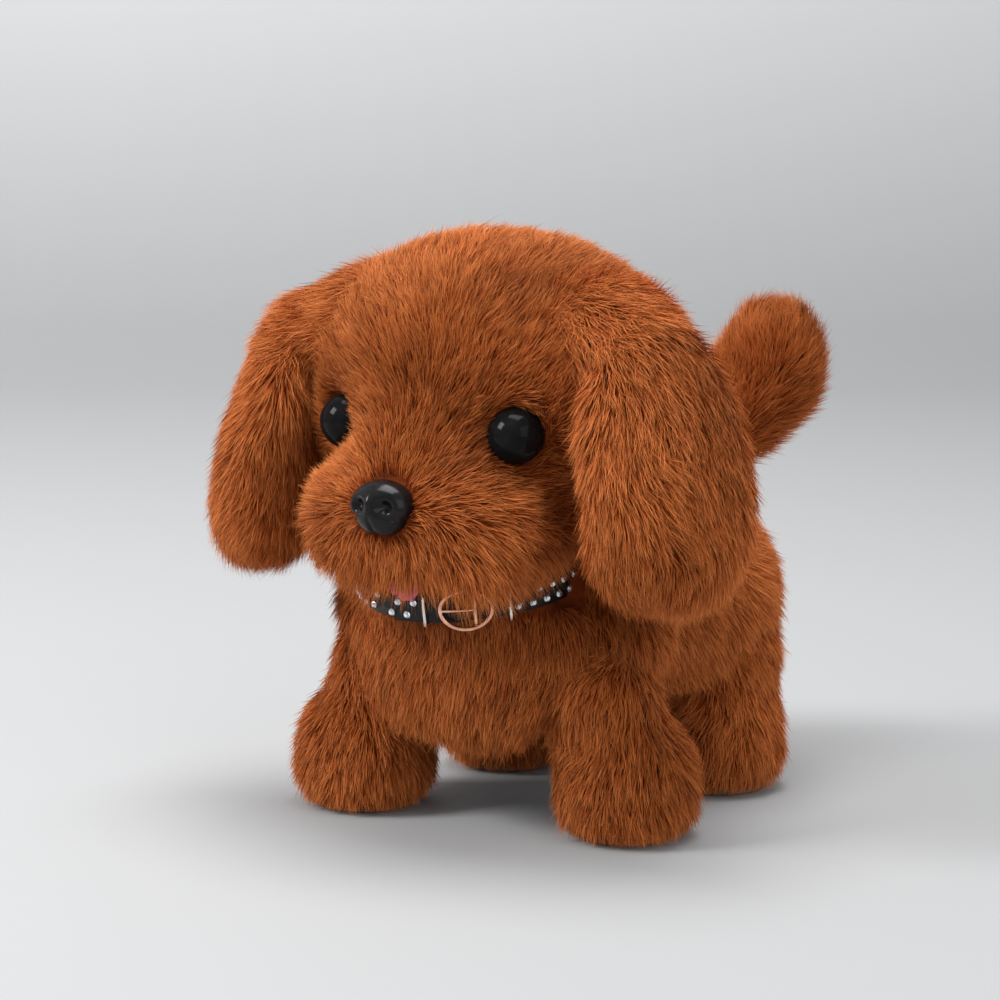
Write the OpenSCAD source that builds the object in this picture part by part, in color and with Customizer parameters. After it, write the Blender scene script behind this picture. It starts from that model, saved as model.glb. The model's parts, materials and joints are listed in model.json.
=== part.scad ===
// Walking plush puppy: a battery gearbox drives four legs, the head nods, the chin and the tail move.
// The puppy faces -Y, +X is its left side, and its feet stand on z = 0.

/* [Chassis] */
// Width of the gearbox housing
chassis_w = 44; // [43.8:0.1:44.2]
// Wall thickness of the housing
wall = 1.6; // [1.4:0.1:1.8]
// Diameter of an AA cell
cell_d = 14.5; // [14.3:0.1:14.5]
// Length of an AA cell
cell_len = 50.5; // [50:0.1:50.5]

/* [Gears] */
// Gear module
gear_module = 0.5; // [0.5]
// Teeth of each pinion
pinion_teeth = 14; // [14]
// Teeth of each wheel
wheel_teeth = 36; // [36]

/* [Legs] */
// Height of the hip pivots
hip_z = 52; // [51.5:0.1:52.5]
// Crank radius that drives the walking bars
crank_r = 2.1; // [1.9:0.1:2.1]
// How far the feet stand off their neutral place
stagger = 5; // [4.6:0.1:5.2]
// Radius of a plush paw
paw_r = 20.5; // [19.5:0.1:20.5]

/* [Head] */
// Radius of the round head
head_r = 47.5; // [46.5:0.5:48]
// Diameter of an eye
eye_d = 16; // [15:0.5:16]
// Width of the nose
nose_w = 19; // [17:0.5:20]
// Largest nod, in degrees
nod = 12; // [8:1:12]

/* [Collar] */
// Inner radius of the collar
collar_r = 32.4; // [32:0.1:32.8]
// Width of the strap
strap_w = 8; // [7:0.5:8]
// Studs in one row of the collar
studs = 46; // [36:1:50]

/* [Tail] */
// Radius of the fluffy tail end
tail_r = 20; // [18:0.5:20]

/* [Hidden] */
$fn = 48;

// Housing
half_w = chassis_w / 2;
front_y = -54;
rear_y = 34;
floor_z = 34;
roof_z = 74;
plate_z = 30;
door_half_w = 16;
seam = 0.02;
seam_screw_z = 70.4;
seam_screw_y = [-51.2, 29];

// Gear train: all shafts lie at one height and one pitch apart
gear_z = 62;
pitch = gear_module * (pinion_teeth + wheel_teeth) / 2;
crank_y = -8;
shaft_2_y = crank_y - pitch;
shaft_1_y = crank_y - 2 * pitch;
motor_y = crank_y - 3 * pitch;
shaft_r = 1;
axle_r = 1.5;
tooth_gap = 0.12;
// A wheel turns a gap towards its driving pinion, and a pinion turns a tooth towards its wheel
wheel_phase = 90 + 180 / wheel_teeth;
pinion_phase = 180 / pinion_teeth;

// Walking linkage
front_hip_y = -43;
rear_hip_y = 22;
lever = gear_z - hip_z;
post_r = 2.5;
hub_in = 26.6;
hub_out = 30;
lean = asin(stagger / hip_z);
leg_swing = 12;
bar_in = 24.4;
bar_out = 26;
pin_r = 1.2;
bar_half_h = 6.6;
bar_shift = lever * sin(lean);
sole_h = 3;
paw_mid_z = 21.5;
// Each leg: side, hip y, foot x
FRONT_LEFT = [1, front_hip_y, 43];
FRONT_RIGHT = [-1, front_hip_y, 42];
REAR_LEFT = [1, rear_hip_y, 36];
REAR_RIGHT = [-1, rear_hip_y, 34];
LEGS = [FRONT_LEFT, FRONT_RIGHT, REAR_LEFT, REAR_RIGHT];

// Neck, head and jaw
nod_y = -40;
nod_z = 88;
nod_pin_r = 2;
head_c = [0, -40, 120.5];
head_half = 7.5;
muzzle_c = [0, -68, 91.5];
muzzle_r = 23;
muzzle_half = 13.5;
head_floor = 84;
skull_r = 28;
skull_y = -42;
skull_low = 98;
skull_high = 140;
jaw_y = -60;
jaw_z = 90;
jaw_open = 7;
eye_c = [28.5, -73.5, 118.5];
washer_depth = 11.2;
washer_t = 1.2;
nose_c = [0, -96.5, 99.5];

// Tail
tail_y = 50;
tail_x = 7;
tail_elbow = [tail_x, tail_y, 91];
tail_end = [24, 84, 120];

// Collar
collar_y = -52;
collar_z = 75.5;
collar_tilt = 10;
strap_t = 1.2;
buckle_turn = 30;
loop_turns = [10.5, 50];
tip_turn = -12;
stud_first = 52;
stud_last = 344;
end_studs = [5, 1.1, -3, -6.6];

// ---------- shared shapes ----------

// Cylinder along X from x0 to x1
module rod_x(x0, x1, r, y = 0, z = 0) {
    translate([x0, y, z]) rotate([0, 90, 0]) cylinder(h = x1 - x0, r = r);
}

// Cylinder along Y from y0 to y1
module rod_y(y0, y1, r, x = 0, z = 0) {
    translate([x, y1, z]) rotate([90, 0, 0]) cylinder(h = y1 - y0, r = r);
}

// Box from its low corner to its high corner
module block(low, high) {
    translate(low) cube(high - low);
}

// Straight round rod between two points
module rod(a, b, r) {
    d = b - a;
    span = norm(d);
    translate(a) rotate([0, acos(d[2] / span), atan2(d[1], d[0])]) cylinder(h = span, r = r);
}

// Capsule along X: a round bolster with half spheres at its ends
module capsule(r, half) {
    rotate([0, 90, 0]) rotate_extrude() intersection() {
        translate([0, -half - r]) square([r, 2 * (half + r)]);
        union() {
            translate([0, half]) circle(r);
            translate([0, -half]) circle(r);
            translate([0, -half]) square([r, 2 * half]);
        }
    }
}

// Mirrors its child to the side given, 1 for left and -1 for right
module to_side(side) {
    mirror([side > 0 ? 0 : 1, 0, 0]) children();
}

// Turns its child about the nod pivot
module nodded(angle) {
    translate([0, nod_y, nod_z]) rotate([-angle, 0, 0]) translate([0, -nod_y, -nod_z]) children();
}

// ---------- gears ----------

// One tooth, from the root circle to the tip
module tooth(teeth, thin) {
    r = gear_module * teeth / 2;
    root = r - 1.15 * gear_module;
    tip = r + 0.8 * gear_module;
    half_root = gear_module * 0.95 - thin / 2;
    half_pitch = gear_module * PI / 4 - thin / 2;
    half_tip = gear_module * 0.42 - thin / 2;
    polygon([
        [root - 0.4, -half_root], [root, -half_root], [r, -half_pitch], [tip, -half_tip],
        [tip, half_tip], [r, half_pitch], [root, half_root], [root - 0.4, half_root]
    ]);
}

// Spur gear along X between x0 and x1, centred on the line y, z
module spur(teeth, x0, x1, y, z, phase) {
    root = gear_module * teeth / 2 - 1.15 * gear_module;
    translate([x0, y, z]) rotate([0, 90, 0]) linear_extrude(x1 - x0) rotate(phase) union() {
        circle(root);
        for (i = [0 : teeth - 1]) rotate(i * 360 / teeth) tooth(teeth, tooth_gap);
    }
}

// ---------- housing ----------

// Tube on the inside of a side wall that carries a shaft
module shaft_boss(inner_x, y, r) {
    rod_x(inner_x, half_w - wall + 0.1, r, y, gear_z);
}

// Post outside the wall on which a leg turns
module hip_post(y) {
    rod_x(half_w - 0.1, hub_out + 0.1, post_r, y, hip_z);
}

// Pad and two rails that guide a walking bar
module bar_guide(y0, y1) {
    block([half_w - 0.1, y0, gear_z - 8], [bar_in - 0.2, y1, gear_z + 8]);
    for (side = [-1, 1]) translate([0, 0, gear_z + side * (bar_half_h + 1.2)])
        block([half_w - 0.1, y0, -0.8], [hub_in - 0.5, y1, 0.8]);
}

// One half of the housing, drawn for the left side
module chassis_half(boss_1_x, boss_2_x) {
    difference() {
        union() {
            difference() {
                block([seam, front_y, floor_z], [half_w, rear_y, roof_z]);
                block([-1, front_y + wall, floor_z - 1], [half_w - wall, rear_y - wall, roof_z - wall]);
            }
            shaft_boss(boss_1_x, shaft_1_y, 2.4);
            shaft_boss(boss_2_x, shaft_2_y, 2.4);
            shaft_boss(14, crank_y, 3.4);
            hip_post(front_hip_y);
            hip_post(rear_hip_y);
            bar_guide(-32, -25);
            bar_guide(5, 11);
            for (y = seam_screw_y) rod_x(seam, half_w - wall + 0.1, 2.2, y, seam_screw_z);
        }
        rod_x(-1, half_w - wall + 1, shaft_r, shaft_1_y, gear_z);
        rod_x(-1, half_w - wall + 1, shaft_r, shaft_2_y, gear_z);
        rod_x(-1, half_w + 1, axle_r + 0.15, crank_y, gear_z);
        for (y = [front_hip_y, rear_hip_y]) rod_x(half_w + 1, hub_out + 1, 0.9, y, hip_z);
        for (y = seam_screw_y) rod_x(-1, 12, 0.9, y, seam_screw_z);
    }
}

module chassis_left() {
    color("ivory") chassis_half(6.8, 11.2);
}

module chassis_right() {
    color("ivory") union() {
        mirror([1, 0, 0]) chassis_half(0.3, 0.3);
        block([-half_w + wall - 0.1, front_y + wall - 0.1, gear_z - 9.6], [-1.5, -39.5, gear_z - 7.7]);
        block([tail_x - 12, rear_y - 0.1, 62], [-seam, 40, 66]);
        difference() {
            union() {
                block([-5, 38, 62], [tail_x, tail_y, 66]);
                translate([tail_x, tail_y, 62]) cylinder(h = 4, r = 5);
            }
            translate([tail_x, tail_y, 61]) cylinder(h = 6, r = 2.6);
        }
    }
}

module chassis_screws() {
    color("silver") for (y = seam_screw_y) rod_x(-12, 12, 0.9, y, seam_screw_z);
}

// Belly plate with the battery opening, the sound holes and the switch slot
module base_plate() {
    color("dimgray") difference() {
        block([-half_w, front_y, plate_z], [half_w, rear_y, floor_z]);
        block([-door_half_w - 0.4, -21.4, plate_z - 1], [door_half_w + 0.4, 31.6, floor_z + 1]);
        block([-14, 30, plate_z + 1.2], [14, 32.6, floor_z + 1]);
        for (i = [-2 : 2]) for (j = [-2 : 2]) {
            translate([i * 4, -38 + j * 4, plate_z - 1]) cylinder(h = 6, r = 1.1);
        }
        block([15.6, -44.6, plate_z - 1], [18.4, -33.4, floor_z + 1]);
        translate([0, -23.6, plate_z - 1]) cylinder(h = 6, r = 1);
    }
}

// ---------- power and sound ----------

module batteries() {
    for (x = [-8, 8]) {
        color("goldenrod") rod_y(-19.5, -19.5 + cell_len - 1.5, cell_d / 2, x, 43.6);
        color("silver") rod_y(-19.5 + cell_len - 1.5, -19.5 + cell_len, 2.75, x, 43.6);
    }
}

module battery_contacts() {
    color("silver") {
        block([-14, 31.1, 38], [14, 31.5, 49]);
        for (x = [-8, 8]) {
            block([x - 5, -21, 38], [x + 5, -20.6, 49]);
            rod_y(-20.6, -19.6, 3, x, 43.6);
        }
    }
}

// Battery door with hinge tabs at its rear edge and a screw ear at the front
module battery_door() {
    color("dimgray") difference() {
        union() {
            block([-door_half_w, -21, plate_z], [door_half_w, 31.2, plate_z + 2.4]);
            for (x = [-9, 9]) block([x - 3, 28, plate_z + 2.4], [x + 3, 31.2, plate_z + 3.4]);
        }
        translate([0, -17, plate_z - 1]) cylinder(h = 5, r = 1.3);
        for (i = [0 : 4]) block([-6, 8 + 3 * i, plate_z - 0.1], [6, 9.2 + 3 * i, plate_z + 0.6]);
    }
}

module door_screw() {
    color("silver") translate([0, -17, 0]) difference() {
        translate([0, 0, plate_z + 0.2]) cylinder(h = 5, r = 1.25);
        block([-0.9, -0.2, plate_z], [0.9, 0.2, plate_z + 0.9]);
        block([-0.2, -0.9, plate_z], [0.2, 0.9, plate_z + 0.9]);
    }
}

module pcb() {
    color("darkgreen") block([-19, -52, 46], [19, -24, 47.5]);
    color("black") block([-6, -44, 47.5], [6, -34, 49.5]);
}

module speaker() {
    color("gray") translate([0, -38, 0]) rotate_extrude() polygon([
        [0, 34.4], [12.8, 34.4], [12.8, 36.4], [9, 39.4], [9, 44], [0, 44]
    ]);
}

module switch_body() {
    color("black") difference() {
        block([14, -46, 34.2], [20, -32, 39]);
        block([15.6, -44.6, 34], [18.4, -33.4, 37]);
    }
}

module switch_knob() {
    color("white") union() {
        block([16, -44, plate_z - 1.5], [18, -40, 36.5]);
        for (i = [0 : 2]) block([16, -43.7 + 1.4 * i, plate_z - 1.9], [18, -43.1 + 1.4 * i, plate_z - 1.5]);
    }
}

// ---------- drive ----------

module motor() {
    color("silver") difference() {
        intersection() {
            rod_x(-19, -1, 7.6, motor_y, gear_z);
            block([-20, motor_y - 6, gear_z - 7.7], [0, motor_y + 6, gear_z + 7.7]);
        }
        rod_x(-3, 0, 1.1, motor_y, gear_z);
    }
}

module motor_pinion() {
    color("gold") union() {
        spur(pinion_teeth, 0.2, 2.5, motor_y, gear_z, pinion_phase);
        rod_x(-2.6, 0.3, 0.9, motor_y, gear_z);
    }
}

module gear_shafts() {
    color("silver") {
        rod_x(-half_w + wall - 0.8, half_w - wall + 0.8, shaft_r, shaft_1_y, gear_z);
        rod_x(-half_w + wall - 0.8, half_w - wall + 0.8, shaft_r, shaft_2_y, gear_z);
    }
}

// Wheel and pinion moulded in one piece
module gear_cluster(y, wheel_x, pinion_x) {
    difference() {
        union() {
            spur(wheel_teeth, wheel_x, wheel_x + 2.5, y, gear_z, wheel_phase);
            spur(pinion_teeth, pinion_x, pinion_x + 2.6, y, gear_z, pinion_phase);
            rod_x(min(wheel_x, 0.1), pinion_x + 0.1, 2.2, y, gear_z);
        }
        rod_x(-1, pinion_x + 4, shaft_r + 0.08, y, gear_z);
    }
}

module gear_stage_1() {
    color("white") gear_cluster(shaft_1_y, 0.1, 4);
}

module gear_stage_2() {
    color("white") gear_cluster(shaft_2_y, 4.1, 8.3);
}

module crankshaft() {
    color("silver") rod_x(-24, 24, axle_r, crank_y, gear_z);
}

module crank_gear() {
    color("white") difference() {
        union() {
            spur(wheel_teeth, 8.4, 10.9, crank_y, gear_z, wheel_phase);
            rod_x(7, 12.4, 3, crank_y, gear_z);
        }
        rod_x(6, 13, axle_r, crank_y, gear_z);
    }
}

// Crank disc with its pin, drawn for the left side; the bars stand off centre by bar_shift
module crank(rise) {
    pin_dy = bar_shift * crank_r / (lever * sin(leg_swing));
    pin_dz = rise * sqrt(crank_r * crank_r - pin_dy * pin_dy);
    color("red") difference() {
        union() {
            rod_x(half_w + 0.4, half_w + 2, 5, crank_y, gear_z);
            rod_x(half_w + 1.9, bar_out + 0.2, pin_r, crank_y - rise * pin_dy, gear_z + pin_dz);
        }
        rod_x(half_w, 24, axle_r, crank_y, gear_z);
    }
}

module crank_left() {
    crank(1);
}

module crank_right() {
    mirror([1, 0, 0]) crank(-1);
}

// Walking bar: two slots for the leg levers and a window for the crank pin
module walking_bar(shift) {
    color("orange") translate([0, shift, 0]) difference() {
        block([bar_in, front_hip_y - 6, gear_z - bar_half_h], [bar_out, rear_hip_y + 6, gear_z + bar_half_h]);
        for (y = [front_hip_y, rear_hip_y])
            block([bar_in - 1, y - 1.5, gear_z - 2.6], [bar_out + 1, y + 1.5, gear_z + 2]);
        block([bar_in - 1, crank_y - 5.8, gear_z - 3.8], [bar_out + 1, crank_y + 5.8, gear_z + 3.8]);
    }
}

module bar_left() {
    walking_bar(-bar_shift);
}

module bar_right() {
    mirror([1, 0, 0]) walking_bar(bar_shift);
}

// ---------- legs ----------

// Leg frame: hub, lever with its pin, arm and foot plate
module leg_frame(leg) {
    side = leg[0];
    hip_y = leg[1];
    foot_x = leg[2];
    foot_y = hip_y + side * stagger;
    color("orange") to_side(side) difference() {
        union() {
            rod_x(hub_in, hub_out, 5.5, hip_y, hip_z);
            translate([0, hip_y, hip_z]) rotate([side * lean, 0, 0]) {
                block([hub_in, -2.4, 0], [hub_out - 1, 2.4, lever]);
                rod_x(hub_in, hub_out - 1, 2.4, 0, lever);
                rod_x(bar_in - 0.6, hub_in + 0.1, pin_r, 0, lever);
            }
            block([hub_in, foot_y - 5, sole_h], [hub_out, foot_y + 5, 24]);
            translate([hub_in, 0, 0]) rotate([90, 0, 90]) linear_extrude(hub_out - hub_in) polygon([
                [foot_y - 5, 20], [foot_y + 5, 20], [hip_y + 5, hip_z], [hip_y - 5, hip_z]
            ]);
            block([hub_in, foot_y - 4, sole_h], [foot_x, foot_y + 4, sole_h + 6]);
            translate([foot_x, foot_y, sole_h]) cylinder(h = 3, r = 12);
        }
        rod_x(hub_in - 1, hub_out + 1, post_r + 0.1, hip_y, hip_z);
    }
}

// Rubber sole with rounded edge
module foot_sole(leg) {
    color("dimgray") to_side(leg[0]) translate([leg[2], leg[1] + leg[0] * stagger, 0]) rotate_extrude() {
        square([13.5, sole_h]);
        translate([13.5, 1.5]) circle(1.5);
    }
}

// Outer shape of a plush paw
module paw_shape() {
    rotate_extrude() intersection() {
        translate([0, 0.5]) square([paw_r + 1, 50]);
        union() {
            translate([0, paw_mid_z]) circle(paw_r);
            translate([0, 7.6]) square([paw_r - 0.5, 14]);
            translate([13, 7.6]) circle(paw_r - 13.5);
            translate([0, 0.6]) square([13, 8]);
        }
    }
}

module plush_paw(leg) {
    side = leg[0];
    foot_x = leg[2];
    foot_y = leg[1] + side * stagger;
    color("sienna") to_side(side) difference() {
        translate([foot_x, foot_y, 0]) paw_shape();
        translate([foot_x, foot_y, -1]) cylinder(h = sole_h + 4.2, r = 15.4);
        block([hub_in - 0.3, foot_y - 10, -1], [hub_out + 0.3, foot_y + 10, 60]);
        block([hub_in - 0.3, foot_y - 4.3, -1], [foot_x, foot_y + 4.3, sole_h + 6.3]);
        block([-40, foot_y - 40, 19], [half_w + 2.6, foot_y + 40, 60]);
        block([-40, foot_y - 40, -1], [door_half_w + 1, foot_y + 40, 60]);
    }
}

module leg_front_left() {
    leg_frame(FRONT_LEFT);
}

module leg_front_right() {
    leg_frame(FRONT_RIGHT);
}

module leg_rear_left() {
    leg_frame(REAR_LEFT);
}

module leg_rear_right() {
    leg_frame(REAR_RIGHT);
}

module sole_front_left() {
    foot_sole(FRONT_LEFT);
}

module sole_front_right() {
    foot_sole(FRONT_RIGHT);
}

module sole_rear_left() {
    foot_sole(REAR_LEFT);
}

module sole_rear_right() {
    foot_sole(REAR_RIGHT);
}

module paw_front_left() {
    plush_paw(FRONT_LEFT);
}

module paw_front_right() {
    plush_paw(FRONT_RIGHT);
}

module paw_rear_left() {
    plush_paw(REAR_LEFT);
}

module paw_rear_right() {
    plush_paw(REAR_RIGHT);
}

module hip_screws() {
    color("silver") for (leg = LEGS) to_side(leg[0]) {
        rod_x(half_w + 2, hub_out + 0.2, 0.9, leg[1], hip_z);
        rod_x(hub_out + 0.2, hub_out + 1.6, 3.6, leg[1], hip_z);
    }
}

// ---------- head ----------

module neck_bracket() {
    color("ivory") difference() {
        union() {
            block([-14.4, nod_y - 7, roof_z], [14.4, nod_y + 7, roof_z + 1.8]);
            for (side = [-1, 1]) to_side(side) {
                block([12, nod_y - 5, roof_z], [14.4, nod_y + 5, nod_z]);
                rod_x(12, 14.4, 5, nod_y, nod_z);
            }
        }
        rod_x(-20, 20, nod_pin_r, nod_y, nod_z);
    }
}

module neck_pin() {
    color("silver") union() {
        rod_x(-15, 15, nod_pin_r, nod_y, nod_z);
        rod_x(14.5, 15.8, 3, nod_y, nod_z);
        rod_x(-15.8, -14.5, 3, nod_y, nod_z);
    }
}

// Skull half: hollow barrel with a neck tang and a jaw lug
module skull_half() {
    color("ivory") difference() {
        union() {
            intersection() {
                translate([0, skull_y, 0]) rotate_extrude() difference() {
                    translate([0, skull_low]) square([skull_r, skull_high - skull_low]);
                    translate([0, skull_low + wall]) square([skull_r - wall, skull_high - skull_low - 2 * wall]);
                }
                block([seam, -80, 90], [40, 0, 150]);
            }
            block([seam, nod_y - 4.5, nod_z], [11.4, nod_y + 4.5, skull_low + 1]);
            rod_x(seam, 11.4, 4.5, nod_y, nod_z);
            block([4.4, jaw_y - 3, jaw_z - 3], [7, jaw_y + 3, skull_low + 1]);
        }
        rod_x(-1, 12, nod_pin_r + 0.1, nod_y, nod_z);
        rod_x(4, 8, 1.1, jaw_y, jaw_z);
    }
}

module skull_left() {
    skull_half();
}

module skull_right() {
    mirror([1, 0, 0]) skull_half();
}

// Eye axis runs from the middle of the head out through the eye
module on_eye_axis(side) {
    d = eye_c - [0, skull_y, eye_c[2]];
    to_side(side) translate(eye_c) rotate([90, 0, atan2(d[1], d[0]) + 90]) children();
}

module head_outer() {
    translate(head_c) capsule(head_r, head_half);
    translate(muzzle_c) capsule(muzzle_r, muzzle_half);
}

// Half space below the head floor
module below_head() {
    block([-80, -130, 40], [80, 50, head_floor]);
}

module head_plush() {
    color("sienna") difference() {
        head_outer();
        below_head();
        nodded(-nod - 6) below_head();
        translate([0, skull_y, skull_low - 1]) cylinder(h = skull_high - skull_low + 2, r = skull_r + 3.4);
        block([-17, nod_y - 14, 70], [17, nod_y + 14, skull_low + 1]);
        block([-9, -74, 70], [9, jaw_y + 8, skull_low + 1]);
        rod_y(-78, -66, 8, 0, nose_c[2] + 1);
        rod_y(-100, -70, 2.2, 0, nose_c[2]);
        translate(nose_c) sphere(9.9);
        for (side = [-1, 1]) on_eye_axis(side) {
            sphere(eye_d / 2 + 0.2);
            translate([0, 0, 0.5]) cylinder(h = 14, r1 = eye_d / 2 + 0.2, r2 = eye_d);
            translate([0, 0, -20]) cylinder(h = 20, r = 2.2);
            translate([0, 0, -24]) cylinder(h = 24.6 - washer_depth, r = 6.4);
        }
    }
}

// Ear hanging from the side of the head, flared outward
module plush_ear() {
    color("sienna") difference() {
        translate([62, -52, 113]) rotate([0, -15, -20]) scale([11 / 46, 27 / 46, 1]) sphere(46);
        translate(head_c) capsule(head_r + 0.05, head_half);
    }
}

module ear_left() {
    plush_ear();
}

module ear_right() {
    mirror([1, 0, 0]) plush_ear();
}

// Domed eye with its stem
module eye(side) {
    color("black") on_eye_axis(side) union() {
        intersection() {
            sphere(eye_d / 2);
            translate([0, 0, -3]) cylinder(h = eye_d, r = eye_d);
        }
        translate([0, 0, -washer_depth - washer_t - 0.5]) cylinder(h = washer_depth, r = 2);
    }
}

module eye_left() {
    eye(1);
}

module eye_right() {
    eye(-1);
}

module eye_washers() {
    color("white") for (side = [-1, 1]) on_eye_axis(side) translate([0, 0, -washer_depth - washer_t]) difference() {
        cylinder(h = washer_t, r = 5.6);
        translate([0, 0, -1]) cylinder(h = 4, r = 2);
    }
}

module nose() {
    color("black") union() {
        translate(nose_c) scale([nose_w / 16, 0.94, 1]) sphere(8);
        rod_y(-90, -75.5, 2, 0, nose_c[2]);
    }
}

module nose_washer() {
    color("white") difference() {
        rod_y(-77.9, -76.7, 5, 0, nose_c[2]);
        rod_y(-80, -74, 2, 0, nose_c[2]);
    }
}

// Jaw lever: a pivot barrel, a drop link and a plate inside the chin
module jaw_frame() {
    color("ivory") difference() {
        union() {
            rod_x(-4.2, 4.2, 3, jaw_y, jaw_z);
            rod_x(-6.8, 6.8, 1, jaw_y, jaw_z);
            block([-4.2, jaw_y - 3, 80.6], [4.2, jaw_y, jaw_z]);
            block([-4.2, -84, 80.6], [4.2, jaw_y, 81.8]);
        }
    }
}

module chin_plush() {
    color("sienna") difference() {
        intersection() {
            translate([0, -74, 0]) scale([1, 1.05, 1]) cylinder(h = 120, r = 16);
            block([-20, -95, 79], [20, jaw_y - 3.4, 83.2]);
        }
        block([-4.3, -84.1, 80.5], [4.3, jaw_y, 81.9]);
        block([-4.3, jaw_y - 4, 80.5], [4.3, jaw_y, 90]);
    }
}

// Tongue lying over the front of the chin
module tongue() {
    color("hotpink") union() {
        block([-5, -93.6, 83.2], [5, -80, 83.7]);
        block([-5, -93.6, 79.4], [5, -91.2, 83.7]);
    }
}

// ---------- tail ----------

// Sloping part of the tail arm, from the elbow into the fluffy end
module tail_rod(r) {
    rod(tail_elbow, tail_end, r);
    translate(tail_elbow) sphere(r + 1.2);
}

module tail_arm() {
    color("ivory") union() {
        translate([tail_x, tail_y, 60]) cylinder(h = tail_elbow[2] - 60, r = 2.5);
        translate([tail_x, tail_y, 66.2]) cylinder(h = 1.6, r = 4);
        translate([tail_x, tail_y, 59]) cylinder(h = 2.8, r = 4);
        tail_rod(2);
    }
}

module tail_plush() {
    color("sienna") difference() {
        union() {
            translate([10, 58, 98]) sphere(9.5);
            translate([14, 67, 104]) sphere(13);
            translate([19, 76, 111]) sphere(17);
            translate(tail_end) sphere(tail_r);
        }
        tail_rod(2.15);
    }
}

// ---------- body and collar ----------

// Ring frame of the collar, tilted down at the throat
module collar_frame() {
    translate([0, collar_y, collar_z]) rotate([collar_tilt, 0, 0]) children();
}

// Swept space of a leg above the belly: a bolster along its swing
module paw_sweep(leg) {
    drop = hip_z - paw_mid_z;
    arm = norm([stagger, drop]);
    rest = atan(stagger / drop) - lean;
    low = arm * sin(rest - leg_swing);
    high = arm * sin(rest + leg_swing);
    middle_y = leg[1] + leg[0] * (low + high) / 2;
    to_side(leg[0]) translate([leg[2], middle_y, paw_mid_z + 0.5]) rotate(90)
        capsule(paw_r + 1, (high - low) / 2 + 0.3);
}

// Swept space of the chin under the mouth
module jaw_sweep() {
    drop = (jaw_y + 97) * sin(jaw_open + 1);
    rotate([90, 0, 90]) translate([0, 0, -17.5]) linear_extrude(35) polygon([
        [-97, 78.2 - drop], [jaw_y - 2, 77.9], [jaw_y + 5, 77.9], [jaw_y + 5, 95], [-97, 95]
    ]);
}

// Opening for the chassis, the linkage and the tail bracket
module mechanism_space() {
    block([-33, front_y - 3, 0], [33, 38, roof_z - 2]);
    block([-half_w - 1, front_y - 3, 0], [half_w + 1, 38, roof_z + 2.4]);
    block([-8, 30, 56], [14.5, 56.5, 72]);
    block([-18, nod_y - 13, 60], [18, nod_y + 13, 110]);
    translate([tail_x, tail_y, 60]) cylinder(h = 60, r = 4.4);
}

module body_plush() {
    color("sienna") difference() {
        union() {
            translate([0, -38, 60]) capsule(30, 23);
            translate([0, 24, 60]) capsule(37, 14);
            translate([0, collar_y, 52]) cylinder(h = 32, r = 30.2);
            for (side = [-1, 1]) rod_y(-40, 26, 28, side * 15.5, 59);
            block([-15.5, -40, 20], [15.5, 26, 85]);
        }
        block([-90, -130, 0], [90, 90, 31]);
        block([-90, -130, head_floor - 0.9], [90, -14, 130]);
        mechanism_space();
        intersection() {
            nodded(nod) translate(head_c) capsule(head_r + 1, head_half);
            block([-90, -130, head_floor - 0.9], [90, 90, 200]);
        }
        for (leg = LEGS) paw_sweep(leg);
        jaw_sweep();
        collar_frame() difference() {
            translate([0, 0, -strap_w / 2 - 0.5]) cylinder(h = 40, r = collar_r + 4);
            translate([0, 0, -20]) cylinder(h = 80, r = collar_r - 0.4);
        }
    }
}

// Strap ring and its free pointed end, which lies on the ring from the buckle to the throat
module collar_strap() {
    end_half = collar_r * sin((buckle_turn - tip_turn) / 2);
    color([0.08, 0.08, 0.08]) collar_frame() union() {
        difference() {
            translate([0, 0, -strap_w / 2]) cylinder(h = strap_w, r = collar_r + strap_t);
            translate([0, 0, -strap_w]) cylinder(h = 2 * strap_w, r = collar_r);
        }
        intersection() {
            difference() {
                translate([0, 0, -strap_w / 2]) cylinder(h = strap_w, r = collar_r + 2 * strap_t + 0.1);
                translate([0, 0, -strap_w]) cylinder(h = 2 * strap_w, r = collar_r + strap_t);
            }
            rotate([90, 0, (tip_turn + buckle_turn) / 2]) linear_extrude(60) polygon([
                [-end_half, 0], [4 - end_half, -strap_w / 2], [end_half, -strap_w / 2],
                [end_half, strap_w / 2], [4 - end_half, strap_w / 2]
            ]);
        }
    }
}

// Rounded rectangular wire ring standing on the strap
module strap_ring(width, height, wire, reach) {
    translate([0, -reach, 0]) rotate([90, 0, 0]) difference() {
        linear_extrude(wire) hull() {
            for (x = [-1, 1]) translate([x * (width - height) / 2, 0]) circle(height / 2, $fn = 32);
        }
        translate([0, 0, -1]) linear_extrude(wire + 2) hull() {
            for (x = [-1, 1]) translate([x * (width - height) / 2, 0]) circle(height / 2 - wire, $fn = 32);
        }
    }
}

module collar_buckle() {
    color("gold") collar_frame() rotate(buckle_turn) union() {
        strap_ring(14, 11, 1.2, collar_r + 2 * strap_t + 0.2);
        block([-0.6, -collar_r - 2 * strap_t - 1.4, -5], [0.6, -collar_r - 2 * strap_t - 0.2, 5]);
    }
}

module collar_loops() {
    color("silver") collar_frame() for (turn = loop_turns) rotate(turn) difference() {
        block([-1.5, -collar_r - 2 * strap_t - 1.3, -5], [1.5, -collar_r + 0.25, 5]);
        block([-3, -collar_r - 2 * strap_t - 0.3, -4.2], [3, -collar_r + 1, 4.2]);
    }
}

// Stud on the strap; row is 0 or 1
module stud(turn, radius, row) {
    rotate(turn) translate([0, -radius, (row - 0.5) * 3.6])
        rotate([90, 0, 0]) cylinder(h = 0.7, r1 = 1, r2 = 0.55, $fn = 16);
}

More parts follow.
